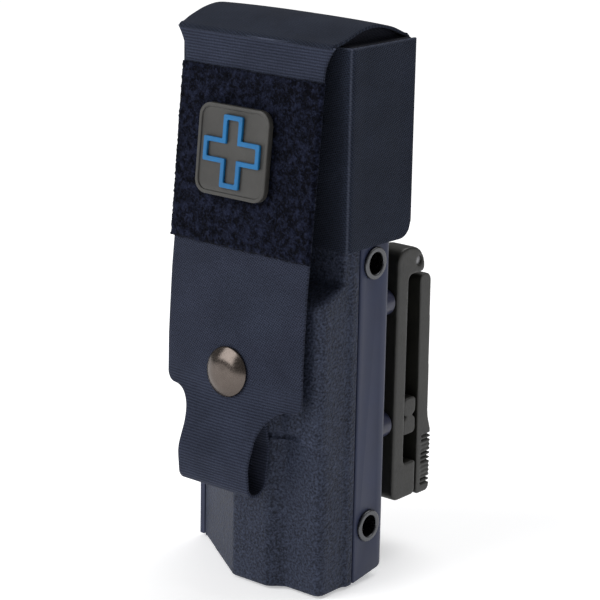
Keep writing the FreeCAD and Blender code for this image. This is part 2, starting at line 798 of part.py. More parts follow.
# ---------------------------------------------------------------- hood
def hood():
    inside = hood_half - s.fabric
    for name, start in (("hood_side_right", inside), ("hood_side_left", -hood_half)):
        body = new_body(name)
        panel = [
            (s.fabric, s.hood_low, 1.0),
            (s.hood_depth, s.hood_low, 5.0),
            (s.hood_depth, s.hood_high),
            (s.fabric, s.hood_high),
        ]
        pad(body, "YZ", panel, s.fabric, start)
        finish(body)
    body = new_body("hood_front")
    pad(body, "XZ", rectangle(-hood_half, s.hood_low, hood_half, s.hood_high), s.fabric, -s.fabric)
    finish(body)
    # arched top panel, from the strap's crease to the hinge line at the back
    front = 0.6 - s.brow
    depth = s.hood_depth
    crown = s.hood_high + s.hood_crown
    skin = s.fabric
    arch = [
        (front, s.hood_high - 0.2),
        (front + 4.6, s.hood_high + s.hood_crown * 0.36, 6.0),
        (depth * 0.46, crown, 14.0),
        (depth, s.hood_high + 0.6),
        (depth, s.hood_high + 0.6 + skin),
        (depth * 0.46, crown + skin, 14.0),
        (front + 4.2, s.hood_high + s.hood_crown * 0.36 + skin, 6.0),
        (front, s.hood_high + 0.75),
    ]
    body = new_body("hood_top")
    pad(body, "YZ", arch, 2 * s.top_half, middle=True)
    finish(body)
    # folded gussets that close the arch above each side panel
    pieces = []
    web = [
        (s.fabric + 0.4, s.hood_high),
        (depth - 1.5, s.hood_high),
        (depth * 0.46, crown - 1.3, 8.0),
    ]
    for start in (s.top_half - 2.4, -s.top_half + 2.4 - skin):
        body = new_body("gusset")
        pad(body, "YZ", web, skin, start)
        edges = (start, inside) if start.number > 0 else (-inside, start + skin)
        floor = rectangle(edges[0], s.fabric, edges[1], depth - 1.5)
        pad(body, "XY", floor, skin, s.hood_high - skin)
        pieces.append(body)
    finish(group("hood_gussets", pieces))
    # the back panel stays with the case, sewn and riveted through its anchor
    body = new_body("hood_back")
    half = inside - s.gap
    panel = rectangle(-half, s.hood_low - 1.2, half, s.hood_high - 1.5, 2.0)
    pad(body, "XZ", panel, s.fabric, -s.hood_depth)
    drill(body, "XZ", [(x, z, 1.65) for x, z in rivet_places()], 3, -s.hood_depth - 1)
    finish(body)
    body = new_body("hood_anchor")
    block = rectangle(-s.anchor_half, s.hood_low + 4, s.anchor_half, s.hood_low + 32, 2.0)
    thickness = s.hood_depth - s.fabric - s.rear_face
    pad(body, "XZ", block, thickness, s.fabric - s.hood_depth)
    drill(body, "XZ", [(x, z, 1.65) for x, z in rivet_places()], 12, -s.hood_depth)
    finish(body)
    rivets = []
    length = s.hood_depth - s.rear_face + s.wall
    for x, z in rivet_places():
        profile = [
            (0, -0.7),
            (3.2, -0.7, 0.3),
            (3.2, 0),
            (1.6, 0),
            (1.6, length),
            (3.6, length),
            (3.6, length + 1.0, 0.5),
            (0, length + 1.0),
        ]
        rivet = turn("rivet", profile)
        rivet.Placement = FreeCAD.Placement(Vec(0, 0, 0), FreeCAD.Rotation(Vec(1, 0, 0), -90))
        bind(rivet, "Placement.Base.x", x)
        bind(rivet, "Placement.Base.y", s.rear_face - s.wall)
        bind(rivet, "Placement.Base.z", z)
        rivets.append(rivet)
    finish(group("hood_rivets", rivets))


# ---------------------------------------------------------------- strap and what is on it
def front_strap():
    """Drawn flat: y = 0 is the middle of the laminate, and z runs down from the crease."""
    skin = s.fabric
    end = -s.strap_length
    wide = new_body("strap_panel")
    waist_top = end - s.notch
    sheet = [
        (-s.strap_half, -0.5),
        (-s.strap_half, end, 4.0),
        (-s.tab_half - s.notch * 0.35, end, 2.0),
        (-s.tab_half, waist_top, 8.0),
        (-s.tab_half, waist_top - 4),
        (s.tab_half, waist_top - 4),
        (s.tab_half, waist_top, 8.0),
        (s.tab_half + s.notch * 0.35, end, 2.0),
        (s.strap_half, end, 4.0),
        (s.strap_half, -0.5),
    ]
    pad(wide, "XZ", sheet, skin, -skin / 2)
    # the tab's free end folds up behind and is held by the snap
    loop = new_body("pull_loop")
    top = -snap_drop + 8
    fold = end - s.tab_length
    outer = [
        (-skin / 2, top),
        (-skin / 2, end - 3, 20.0),
        (-s.loop_depth - skin / 2, fold + 9, 10.0),
        (-s.loop_depth * 0.6, fold, 3.2),
        (3.2, fold + 1.5, 2.6),
        (skin * 1.5, end - 6, 10.0),
        (skin * 1.5, top),
    ]
    inner = [
        (skin / 2, end - 3.1),
        (-s.loop_depth + skin * 0.53, fold + 9, 9.0),
        (-s.loop_depth * 0.6 + skin * 0.72, fold + skin * 1.21, 2.3),
        (3.2 - skin * 1.065, fold + 1.5 + skin * 0.76, 1.7),
        (skin / 2, end - 6.04, 9.0),
    ]
    pad(loop, "YZ", outer, 2 * s.tab_half, middle=True)
    pocket(loop, "YZ", inner, 3 * s.tab_half, middle=True)
    # the panel gives way to the loop where the tab bulges forward
    relief = new_body("loop_relief")
    gone = rectangle(-skin, fold, skin / 2, end - 1.2)
    pad(relief, "YZ", gone, 2 * (s.tab_half + s.notch), middle=True)
    panel = cut("strap_panel_trimmed", wide, relief)
    strap = fuse("strap_with_loop", panel, loop)
    shank = cylinder("cap_hole", 1.7, (0, -5, -snap_drop), 10, "y")
    finish(cut("front_strap", strap, shank), leaning=True)


def strap_fittings():
    skin = s.fabric
    face = -skin / 2
    body = new_body("loop_field")
    low = -s.field_start - s.field_length
    pad(body, "XZ", rectangle(-s.strap_half, low, s.strap_half, -s.field_start, 1.0), s.field, -face)
    finish(body, leaning=True)
    # square patch on its hook backing, with a raised rim
    face = face - s.field
    half = s.patch / 2
    mid_x = s.patch_shift
    mid_z = -s.patch_drop
    body = new_body("patch_backing")
    inside = half - 1.0
    shape = rectangle(mid_x - inside, mid_z - inside, mid_x + inside, mid_z + inside, 3.0)
    pad(body, "XZ", shape, 0.8, -face)
    finish(body, leaning=True)
    face = face - 0.8
    body = new_body("patch_base")
    shape = rectangle(mid_x - half, mid_z - half, mid_x + half, mid_z + half, 4.0)
    pad(body, "XZ", shape, s.patch_thick, -face)
    rim = 1.1
    sunk = 0.5
    field = rectangle(mid_x - half + rim, mid_z - half + rim, mid_x + half - rim, mid_z + half - rim, 3.0)
    pocket(body, "XZ", field, 1.0, -face + s.patch_thick - sunk)
    finish(body, leaning=True)
    # plus sign as a raised outline
    body = new_body("patch_cross")
    floor = -face + s.patch_thick - sunk
    pad(body, "XZ", plus(mid_x, mid_z, s.cross / 2, s.cross_arm / 2), 0.9, floor)
    hollow = plus(mid_x, mid_z, s.cross / 2 - s.cross_line, s.cross_arm / 2 - s.cross_line)
    pocket(body, "XZ", hollow, 4, floor - 1)
    finish(body, leaning=True)
    # snap cap with its post, and the socket clinched behind
    crown = [
        (0, -skin * 1.5 - 0.3),
        (1.6, -skin * 1.5 - 0.3),
        (1.6, skin / 2),
        (s.snap_radius, skin / 2, 0.3),
        (s.snap_radius, skin / 2 + 0.7, 0.5),
        (s.snap_radius * 0.62, skin / 2 + 2.5, 9.0),
        (0, skin / 2 + 2.8),
    ]
    cap = turn("snap_cap", crown)
    cap_holder = group("snap_cap_set", [cap])
    cap.Placement = FreeCAD.Placement(Vec(0, 0, 0), FreeCAD.Rotation(Vec(1, 0, 0), 90))
    bind(cap, "Placement.Base.z", -snap_drop)
    cap.Label = "snap_cap_turned"
    cap_holder.Label = "snap_cap"
    finish(cap_holder, leaning=True)
    ring = [
        (1.65, 0),
        (5.9, 0, 0.6),
        (5.9, 2.4, 0.6),
        (s.stud_radius + 0.5, 2.4, 0.3),
        (s.stud_radius + 0.5, 0.5),
        (1.65, 0.5),
    ]
    socket = turn("snap_socket_turned", ring)
    socket.Placement = FreeCAD.Placement(Vec(0, 0, 0), FreeCAD.Rotation(Vec(1, 0, 0), -90))
    bind(socket, "Placement.Base.y", skin * 1.5)
    bind(socket, "Placement.Base.z", -snap_drop)
    finish(group("snap_socket", [socket]), leaning=True)
    # the stud riveted into the front shell
    profile = [
        (0, 1.85),
        (s.stud_radius - 0.5, 1.85, 0.4),
        (s.stud_radius, 2.75, 0.4),
        (s.stud_radius - 0.4, 3.4),
        (s.stud_radius - 0.4, 3.95),
        (4.6, 3.95, 0.25),
        (4.6, 4.6),
        (1.7, 4.6),
        (1.7, 6.6),
        (3.8, 6.6),
        (3.8, 7.2, 0.25),
        (0, 7.2),
    ]
    stud = turn("snap_stud_turned", profile)
    stud.Placement = FreeCAD.Placement(Vec(0, 0, 0), FreeCAD.Rotation(Vec(1, 0, 0), -90))
    bind(stud, "Placement.Base.z", -snap_drop)
    finish(group("snap_stud", [stud]), leaning=True)


def plus(mid_x, mid_z, reach, arm):
    """Twelve corners of a plus sign, rounded a little."""
    corners = []
    for across, up in ((1, 1), (-1, 1), (-1, -1), (1, -1)):
        near = (mid_x + across * arm, mid_z + up * arm)
        tall = (mid_x + across * arm, mid_z + up * reach, 0.5)
        wide = (mid_x + across * reach, mid_z + up * arm, 0.5)
        corners += [wide, near, tall] if across * up > 0 else [tall, near, wide]
    return corners


# ---------------------------------------------------------------- the folded tourniquet
def tourniquet():
    ply = (s.band_depth - 0.6) / 2
    # the strap is folded into one flat hank, rounded at both ends
    low = s.floor_rise + s.wall
    high = s.rear_height + 10
    body = new_body("tq_strap")
    front = band_back - s.band_depth
    outline = rectangle(front, low, band_back, high, 1.6)
    pad(body, "YZ", outline, 2 * s.band_half, middle=True)
    finish(body)
    body = new_body("tq_stabilizer")
    pad(body, "XZ", rectangle(-20, 26, 20, 112, 4), 2.0, 0.1 - front)
    finish(body)
    plate_front = front - 2.1
    rod_y = plate_front - 0.9 - rod_radius
    rod_x = 5.5
    # windlass rod with grip rings and a slot for the tightening band
    tip = 2.0
    profile = [
        (0, 0),
        (rod_radius, 0, tip),
        (rod_radius, s.rod_length, tip),
        (0, s.rod_length),
    ]
    rod = turn("rod_bar", profile)
    bind(rod, "Placement.Base.x", rod_x)
    bind(rod, "Placement.Base.y", rod_y)
    bind(rod, "Placement.Base.z", low + 2)
    grooves = []
    for i in range(5):
        for start in (10, 104):
            ring = doc.addObject("Part::Torus", "grip_groove")
            ring.Radius1 = 4.9
            bind(ring, "Radius1", rod_radius + 0.4)
            ring.Radius2 = 0.8
            bind(ring, "Placement.Base.x", rod_x)
            bind(ring, "Placement.Base.y", rod_y)
            bind(ring, "Placement.Base.z", low + start + i * 5)
            grooves.append(ring)
    slot = box("rod_slot", (rod_x - 10, rod_y - 1.1, 62), (rod_x + 10, rod_y + 1.1, 88))
    finish(cut("tq_windlass", rod, group("rod_grooves", grooves), slot))
    # the tightening band lies on the plate and passes through the rod's slot
    band = box("band_flat", (rod_x - 11, plate_front - 0.8, 40), (rod_x + 11, plate_front, 108))
    finish(group("tq_inner_band", [band]))
    # the clip that parks the rod, open to the front
    body = new_body("tq_rod_clip")
    outer = rod_radius + 3.0
    foot = plate_front - 0.05
    hook = [
        (rod_x - outer, foot),
        (rod_x - outer, rod_y - rod_radius - 2.6, 2.0),
        (rod_x - rod_radius + 1.6, rod_y - rod_radius - 2.6, 0.6),
        (rod_x - rod_radius - 0.4, rod_y - rod_radius + 1.0),
        (rod_x - rod_radius - 0.4, foot),
    ]
    pad(body, "XY", hook, 24, 14)
    pad(body, "XY", [(2 * rod_x - c[0],) + tuple(c[1:]) for c in hook], 24, 14)
    base = rectangle(rod_x - outer, plate_front - 0.8, rod_x + outer, foot)
    pad(body, "XY", base, 24, 14)
    finish(body)
    body = new_body("tq_time_strap")
    tape = rod_y - rod_radius - 2.6
    pad(body, "XZ", rectangle(rod_x - outer - 1, 17, rod_x + outer + 3, 35, 1.0), 0.8, -tape)
    finish(body)
    # friction buckle at the upper end of the hank
    body = new_body("tq_buckle")
    pad(body, "XZ", rectangle(-22, 115, 22, 147, 4), 2.0, 0.1 - front)
    for z0, z1 in ((119, 127), (130.5, 136), (139.5, 143)):
        pocket(body, "XZ", rectangle(-18.5, z0, 18.5, z1, 1.2), 1.2 + 1, 0.9 - front)
    finish(body)
    body = new_body("tq_strap_tip")
    pad(body, "XZ", rectangle(-18, high, 18, high + 5.8, 1.5), ply, -front - 0.8 - ply)
    finish(body)


# ---------------------------------------------------------------- build and write
front_shell()
rear_shell()
side_eyelets()
clip_frame()
clip_hardware()
belt_bars()
clip_gate()
lock_slide()
hood()
front_strap()
strap_fittings()
tourniquet()
doc.recompute()

for thing in doc.Objects:
    if "Invalid" in thing.State or "Error" in thing.State:
        raise ValueError(thing.Label + " did not build")
os.makedirs("parts", exist_ok=True)
for name, thing in nodes.items():
    if thing.Shape.isNull() or not thing.Shape.isValid():
        raise ValueError(name + " has no valid shape")
    thing.Shape.exportStep("parts/" + name + ".step")
    extent = thing.Shape.BoundBox
    print(f"{name}: {len(thing.Shape.Solids)} solids, {thing.Shape.Volume / 1000:.2f} cm3, "
          f"{extent.XLength:.1f} x {extent.YLength:.1f} x {extent.ZLength:.1f}")
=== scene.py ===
import math
import bmesh
import bpy
from mathutils import Matrix, Vector, noise


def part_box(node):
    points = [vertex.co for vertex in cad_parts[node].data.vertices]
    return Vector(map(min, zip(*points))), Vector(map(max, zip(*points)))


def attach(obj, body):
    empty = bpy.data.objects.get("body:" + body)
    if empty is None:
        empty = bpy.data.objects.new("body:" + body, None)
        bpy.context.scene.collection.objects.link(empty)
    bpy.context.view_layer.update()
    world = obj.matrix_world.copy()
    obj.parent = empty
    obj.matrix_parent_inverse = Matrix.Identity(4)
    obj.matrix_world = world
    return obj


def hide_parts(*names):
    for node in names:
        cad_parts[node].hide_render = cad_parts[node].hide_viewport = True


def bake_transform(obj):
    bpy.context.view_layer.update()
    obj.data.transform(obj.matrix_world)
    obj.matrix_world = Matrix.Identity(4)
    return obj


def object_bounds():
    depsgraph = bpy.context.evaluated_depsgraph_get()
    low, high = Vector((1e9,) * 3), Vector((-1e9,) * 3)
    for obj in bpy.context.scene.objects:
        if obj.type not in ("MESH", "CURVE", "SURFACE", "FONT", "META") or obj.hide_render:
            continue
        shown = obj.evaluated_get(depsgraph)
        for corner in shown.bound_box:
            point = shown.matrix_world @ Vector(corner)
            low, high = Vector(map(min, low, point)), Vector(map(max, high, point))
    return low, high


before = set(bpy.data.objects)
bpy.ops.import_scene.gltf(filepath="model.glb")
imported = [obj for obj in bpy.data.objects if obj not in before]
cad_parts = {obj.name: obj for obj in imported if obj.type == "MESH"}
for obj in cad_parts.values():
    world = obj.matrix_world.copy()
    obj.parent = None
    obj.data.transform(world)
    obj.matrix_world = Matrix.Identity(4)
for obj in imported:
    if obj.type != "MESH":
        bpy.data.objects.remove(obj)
cadBounds = [list(corner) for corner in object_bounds()]
print("frame loaded")

mm = 0.001
rearFace = 22.4  # millimetres from the datum back to the flat back of the case
# The case's own datum: bottom of the case, middle of its width
datum = Vector((0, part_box("rear_shell")[1].y - rearFace * mm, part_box("front_shell")[0].z))
strapLean = math.radians(-5.65)
crease = Vector((0, -4.42, 160.9))  # where the strap folds on the hood's brow


def casePoint(x, y, z):  # millimetres from the case's datum
    return datum + Vector((x, y, z)) * mm


def strapPoint(x, y, z):  # millimetres in the strap's plane, from the crease down
    turned = Matrix.Rotation(strapLean, 3, "X") @ Vector((x, y, z))
    return casePoint(*(crease + turned))


class Wire:
    # A shader socket that arithmetic can be written on
    def __init__(self, shader, socket):
        self.shader, self.socket = shader, socket

    def math(self, operation, other=None, flipped=False):
        values = [self] if other is None else [other, self] if flipped else [self, other]
        return self.shader.add("ShaderNodeMath", {"operation": operation}, dict(enumerate(values)))

    def __add__(self, other):
        return self.math("ADD", other)

    def __radd__(self, other):
        return self.math("ADD", other)

    def __sub__(self, other):
        return self.math("SUBTRACT", other)

    def __rsub__(self, other):
        return self.math("SUBTRACT", other, True)

    def __mul__(self, other):
        return self.math("MULTIPLY", other)

    def __rmul__(self, other):
        return self.math("MULTIPLY", other)

    def sine(self):
        return self.math("SINE")

    def size(self):
        return self.math("ABSOLUTE")

    def ramp(self, low, high, toLow=0.0, toHigh=1.0):
        settings = {"clamp": True}
        values = {0: self, 1: low, 2: high, 3: toLow, 4: toHigh}
        return self.shader.add("ShaderNodeMapRange", settings, values)


class Shader:
    def __init__(self, name, **constants):
        self.material = bpy.data.materials.new(name)
        self.material.use_nodes = True
        self.tree = self.material.node_tree
        self.surface = self.tree.nodes["Principled BSDF"]
        for socket, value in constants.items():
            self.surface.inputs[socket.replace("_", " ")].default_value = value

    def add(self, kind, settings=None, values=None, output=0):
        made = self.tree.nodes.new(kind)
        for key, value in (settings or {}).items():
            setattr(made, key, value)
        for key, value in (values or {}).items():
            self.feed(made.inputs[key], value)
        return Wire(self, made.outputs[output])

    def feed(self, socket, value):
        if isinstance(value, Wire):
            self.tree.links.new(value.socket, socket)
        else:
            socket.default_value = value

    def mix(self, low, high, factor):  # colours by a factor
        settings = {"data_type": "RGBA"}
        return self.add("ShaderNodeMix", settings, {0: factor, 6: low, 7: high}, 2)

    def place(self):  # where on the object, in metres
        return self.add("ShaderNodeTexCoord", output=3)

    def cloth(self):  # millimetres across and along the cloth
        where = self.add("ShaderNodeAttribute", {"attribute_name": "cloth"}, output=1)
        parts = self.tree.nodes.new("ShaderNodeSeparateXYZ")
        self.feed(parts.inputs[0], where)
        return Wire(self, parts.outputs[0]), Wire(self, parts.outputs[1]), where

    def noise(self, scale, detail=2.0, rough=0.5, where=None):
        values = {"Vector": where or self.place(), "Scale": scale, "Detail": detail, "Roughness": rough}
        return self.add("ShaderNodeTexNoise", {}, values)

    def cells(self, scale):
        values = {"Vector": self.place(), "Scale": scale}
        return self.add("ShaderNodeTexVoronoi", {"feature": "SMOOTH_F1"}, values)

    def finish(self, colour, rough=None, height=None, depth=0.0001, strength=1.0):
        self.feed(self.surface.inputs["Base Color"], colour)
        if rough is not None:
            self.feed(self.surface.inputs["Roughness"], rough)
        if height is not None:
            values = {"Strength": strength, "Distance": depth, "Height": height}
            bump = self.add("ShaderNodeBump", {}, values)
            self.feed(self.surface.inputs["Normal"], bump)
        return self.material


def rgb(red, green, blue):  # screen colour 0-255 to linear
    shares = [c / 255 for c in (red, green, blue)]
    return tuple(((c + 0.055) / 1.055) ** 2.4 if c > 10 / 255 else c / 12.92 for c in shares) + (1,)


clothLook = {
    # the third colour is the pale line along folds, partly rubbed wear and partly a painted highlight
    "dark": rgb(14, 16, 25), "light": rgb(60, 66, 84), "worn_and_highlight": rgb(112, 118, 138),
    "pitch": 0.8, "ribPitch": 0.85,  # millimetres between threads, and between cross ribs
    "wander": 1.8,  # how far a rib strays from straight
    "ribTop": 9.3, "ribWaist": 97.0,  # the strap is ribbed above the first and below the second
    "rough": 0.85, "sheen": 0.03, "depth": 0.00022,
}


def weave(name, dark=clothLook["dark"], light=clothLook["light"], ribs=False, folds=()):
    # ribs: False for a diagonal weave, True for cross ribs, "ends" for ribs near both ends of the strap
    look = clothLook
    shader = Shader(name, Sheen_Weight=look["sheen"], Sheen_Roughness=0.5, Specular_IOR_Level=0.08)
    across, along, where = shader.cloth()
    turn = 2 * math.pi / look["pitch"]
    wander = shader.noise(0.3, 2, 0.5, where) * look["wander"]
    rib = (along * (2 * math.pi / look["ribPitch"]) + wander).sine() * 0.5 + 0.5
    stitch = (across * turn * 1.3).sine() * 0.5 + 0.5
    ribbed = rib * (stitch * 0.5 + 0.5) + 0.25
    warp = (across * turn + along * turn * 0.55).sine() * 0.5 + 0.5
    weft = (along * turn * 1.2 - across * turn * 0.4).sine() * 0.5 + 0.5
    height = ribbed if ribs is True else warp * 0.5 + weft * 0.5
    if ribs == "ends":
        zone = along.ramp(look["ribTop"], look["ribTop"] + 1, 1, 0)
        zone = zone + along.ramp(look["ribWaist"], look["ribWaist"] + 5)
        height = height * (1 - zone) + ribbed * zone
    thread = shader.noise(1.7, 3, 0.65, where)
    patchy = shader.noise(0.07, 3, 0.55, where)
    tone = (height * 0.6 + thread.ramp(0.3, 0.7) * 0.4) * patchy.ramp(0.3, 0.7, 0.75, 1.1)
    colour = shader.mix(dark, light, tone)
    for axis, value, width in folds:  # painted highlight along a fold, mixed with pale rubbed wear
        away = ((across.size() if axis == "across" else along) - value).size()
        wearAndHighlight = away.ramp(0, width, 0.3, 0) * thread.ramp(0.25, 0.6, 0.4, 1)
        colour = shader.mix(colour, look["worn_and_highlight"], wearAndHighlight)
    rough = thread.ramp(0.2, 0.8, look["rough"] - 0.1, look["rough"] + 0.12)
    return shader.finish(colour, rough, height * 0.7 + thread * 0.5, look["depth"], strength=0.9)


napLook = {"clumps": 520, "strands": 1500, "rough": 0.95, "depth": 0.0005}


def fuzz(name, dark, light):
    look = napLook
    shader = Shader(name, Sheen_Weight=0.02, Sheen_Roughness=0.6, Specular_IOR_Level=0.03)
    clumps = shader.noise(look["clumps"], 4, 0.7)
    strands = shader.noise(look["strands"], 2, 0.6)
    tone = clumps.ramp(0.45, 0.75) * 0.55 + strands.ramp(0.5, 0.8) * 0.45
    return shader.finish(shader.mix(dark, light, tone), look["rough"], clumps + strands * 0.6, look["depth"])


shellLook = {
    "dark": rgb(15, 18, 28), "light": rgb(68, 75, 95), "grain": 1450, "rough": 0.55, "depth": 0.0004,
}


def grained(name):
    look = shellLook
    shader = Shader(name, Specular_IOR_Level=0.14)
    pebbles = shader.cells(look["grain"])
    fine = shader.noise(look["grain"], 3, 0.6)
    broad = shader.noise(45, 3, 0.55)
    tone = pebbles.ramp(0.15, 0.75) * 0.25 + fine.ramp(0.4, 0.66) * 0.6 + broad.ramp(0.3, 0.7) * 0.15
    rough = fine.ramp(0.3, 0.7, look["rough"] - 0.1, look["rough"] + 0.15)
    height = pebbles * 0.8 + fine * 0.5
    return shader.finish(shader.mix(look["dark"], look["light"], tone), rough, height, look["depth"])


def smoothSheet(name, dark, light, rough):
    shader = Shader(name, Specular_IOR_Level=0.25)
    broad = shader.noise(60, 3, 0.5)
    fine = shader.noise(2600, 2, 0.6)
    colour = shader.mix(dark, light, broad.ramp(0.3, 0.7) * 0.7 + fine * 0.3)
    mottle = broad.ramp(0.25, 0.75, rough - 0.05, rough + 0.1)
    return shader.finish(colour, mottle, fine, depth=0.00003, strength=0.35)


def moulded(name, dark, light, rough, grain, depth):
    shader = Shader(name, Specular_IOR_Level=0.45)
    broad = shader.noise(110, 4, 0.6)
    fine = shader.noise(grain, 3, 0.6)
    tone = broad.ramp(0.3, 0.7) * 0.6 + fine.ramp(0.3, 0.7) * 0.4
    mottle = fine.ramp(0.3, 0.7, rough - 0.08, rough + 0.12)
    return shader.finish(shader.mix(dark, light, tone), mottle, fine, depth, strength=0.5)


def metal(name, colour, rough):
    shader = Shader(name, Metallic=1.0)
    smear = shader.noise(260, 3, 0.5)
    brushed = shader.noise(1900, 2, 0.6)
    dim = tuple(c * 0.88 for c in colour[:3]) + (1,)
    streaks = brushed.ramp(0.3, 0.7, rough - 0.06, rough + 0.1)
    return shader.finish(shader.mix(dim, colour, smear.ramp(0.3, 0.7)), streaks, brushed,
                         depth=0.00001, strength=0.3)


hoodDark, hoodLight = rgb(10, 12, 20), rgb(50, 57, 73)
wallFolds = [("across", 31.0, 0.4), ("along", 160.9, 0.7)]  # the front corners and the top edge, which get a pale line of painted highlight and wear
# the crease at the brow, with the same pale line of painted highlight and wear
strapFolds = [("along", 0.2, 0.6)]
# colours run from dark to light, then comes the roughness; grain is in cells a metre, depth in metres
looks = {
    "weave": weave("navy_weave", hoodDark, hoodLight),
    "walls": weave("navy_walls", hoodDark, hoodLight, folds=wallFolds),
    "strap": weave("navy_strap", ribs="ends", folds=strapFolds),
    "lining": weave("navy_lining", rgb(12, 13, 19), rgb(36, 39, 50)),
    "fuzz": fuzz("loop_nap", rgb(4, 5, 12), rgb(46, 52, 76)),
    "hook": fuzz("hook_nap", rgb(10, 10, 11), rgb(120, 120, 118)),
    "bulge": grained("grained_navy"),
    "flange": smoothSheet("smooth_navy", rgb(36, 42, 64), rgb(48, 55, 80), 0.42),
    "rubber": moulded("patch_rubber", rgb(46, 45, 43), rgb(66, 65, 62), 0.5, grain=900, depth=0.00006),
    "blue": moulded("plus_blue", rgb(0, 88, 138), rgb(6, 108, 166), 0.6, grain=900, depth=0.00003),
    "clip": moulded("clip_plastic", rgb(19, 19, 17), rgb(36, 36, 32), 0.42, grain=1300, depth=0.0001),
    "spacer": moulded("spacer_navy", rgb(30, 33, 52), rgb(50, 53, 78), 0.35, grain=900, depth=0.00002),
    "gunmetal": metal("gunmetal", rgb(98, 90, 85), 0.22),
    "eyelet": metal("eyelet_black", rgb(92, 93, 96), 0.28),
    "steel": metal("screw_steel", rgb(130, 130, 132), 0.34),
    "webbing": weave("tq_webbing", rgb(20, 20, 22), rgb(44, 44, 47), ribs=True),
    "hardware": moulded("tq_plastic", rgb(20, 20, 21), rgb(38, 38, 40), 0.4, grain=1500, depth=0.00005),
}
print("materials made")


def newObject(name, mesh, material):
    made = bpy.data.objects.new(name, mesh)
    bpy.context.collection.objects.link(made)
    mesh.materials.clear()
    mesh.materials.append(looks[material])
    return made


def shadeByAngle(thing, degrees=35):
    for face in thing.data.polygons:
        face.use_smooth = True
    thing.data.set_sharp_from_angle(angle=math.radians(degrees))


def applyAll(thing):
    graph = bpy.context.evaluated_depsgraph_get()
    thing.data = bpy.data.meshes.new_from_object(thing.evaluated_get(graph))
    thing.modifiers.clear()


joinGap = 0.000004  # points closer than this in metres are joined
flatAngle = math.radians(1.0)  # faces closer than this to flat are joined


def softened(node, material, body, slotName, bevel=0, segments=2, angle=45):
    # A CAD node's own shape, with edges sharper than the angle rolled over by the bevel in millimetres
    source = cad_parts[node]
    form = bmesh.new()
    form.from_mesh(source.data)
    form.transform(source.matrix_world)
    bmesh.ops.remove_doubles(form, verts=form.verts, dist=joinGap)
    bmesh.ops.dissolve_limit(form, angle_limit=flatAngle, verts=form.verts, edges=form.edges)
    mesh = bpy.data.meshes.new(node + "_soft")
    form.to_mesh(mesh)
    form.free()
    made = newObject(node + "_soft", mesh, material)
    if bevel:
        roll = made.modifiers.new("roll", "BEVEL")
        roll.width = bevel * mm
        roll.segments = segments
        roll.limit_method = "ANGLE"
        roll.angle_limit = math.radians(angle)
        roll.use_clamp_overlap = True
        roll.miter_outer = "MITER_ARC"
        applyAll(made)
    shadeByAngle(made)
    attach(made, body)
    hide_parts(node)
    return made


def melted(node, material, body, slotName, grid, rounds):
    # A CAD node's own shape with every edge softened, as moulding leaves it; grid is in millimetres
    made = softened(node, material, body, slotName)
    skin = made.modifiers.new("skin", "REMESH")
    skin.mode = "VOXEL"
    skin.voxel_size = grid * mm
    soft = made.modifiers.new("soft", "SMOOTH")
    soft.factor = 0.5
    soft.iterations = rounds
    thin = made.modifiers.new("thin", "DECIMATE")
    thin.ratio = 0.35  # the share of faces kept
    applyAll(made)
    for face in made.data.polygons:
        face.use_smooth = True
    return made


def setCloth(mesh, values):
    layer = mesh.attributes.new("cloth", "FLOAT_VECTOR", "POINT")
    for entry, value in zip(layer.data, values):
        entry.vector = value


def sheetMesh(name, rows, cloth, material):
    # rows of points joined into one sheet; cloth gives each point's place on the flat cloth
    width = len(rows[0])
    points = [p for row in rows for p in row]
    faces = [
        (r * width + c, r * width + c + 1, (r + 1) * width + c + 1, (r + 1) * width + c)
        for r in range(len(rows) - 1) for c in range(width - 1)
    ]
    mesh = bpy.data.meshes.new(name)
    mesh.from_pydata(points, [], faces)
    setCloth(mesh, [(u, v, 0) for row in cloth for u, v in row])
    return newObject(name, mesh, material)


def thicken(thing, thickness, edge=0.18):
    # half of the thickness goes to each side, and the cut edges are rolled
    skin = thing.modifiers.new("skin", "SOLIDIFY")
    skin.thickness = thickness * mm
    skin.offset = 0
    skin.use_even_offset = True
    roll = thing.modifiers.new("roll", "BEVEL")
    roll.width = edge * mm
    roll.segments = 2
    roll.limit_method = "ANGLE"
    roll.angle_limit = math.radians(50)
    applyAll(thing)
    shadeByAngle(thing, 40)


def roundedPath(corners, step):
    # points along a path with rounded corners; corners are (a, b, radius)
    path = []
    for i, corner in enumerate(corners):
        here = Vector(corner[:2])
        radius = corner[2] if len(corner) > 2 else 0
        if i in (0, len(corners) - 1) or not radius:
            path.append(here)
            continue
        back = (Vector(corners[i - 1][:2]) - here).normalized()
        ahead = (Vector(corners[i + 1][:2]) - here).normalized()
        half = back.angle(ahead) / 2
        reach = radius / math.tan(half)
        centre = here + (back + ahead).normalized() * (radius / math.sin(half))
        first, last = here + back * reach, here + ahead * reach
        sweep = math.pi - 2 * half
        count = max(3, int(radius * sweep / step))
        a, b = first - centre, last - centre
        start = math.atan2(a.y, a.x)
        swing = (math.atan2(b.y, b.x) - start + math.pi) % (2 * math.pi) - math.pi
        for k in range(count + 1):
            angle = start + swing * k / count
            path.append(centre + Vector((math.cos(angle), math.sin(angle))) * radius)
    fine = [path[0]]
    for point in path[1:]:
        gap = (point - fine[-1]).length
        pieces = max(1, int(math.ceil(gap / step)))
        start = fine[-1].copy()
        for k in range(1, pieces + 1):
            fine.append(start.lerp(point, k / pieces))
    return fine


def between(table, value):
    # a number read off (position, number) stops, with straight lines between them
    if value <= table[0][0]:
        return table[0][1]
    for (a, x), (b, y) in zip(table, table[1:]):
        if value <= b:
            t = (value - a) / (b - a)
            return x + (y - x) * t
    return table[-1][1]


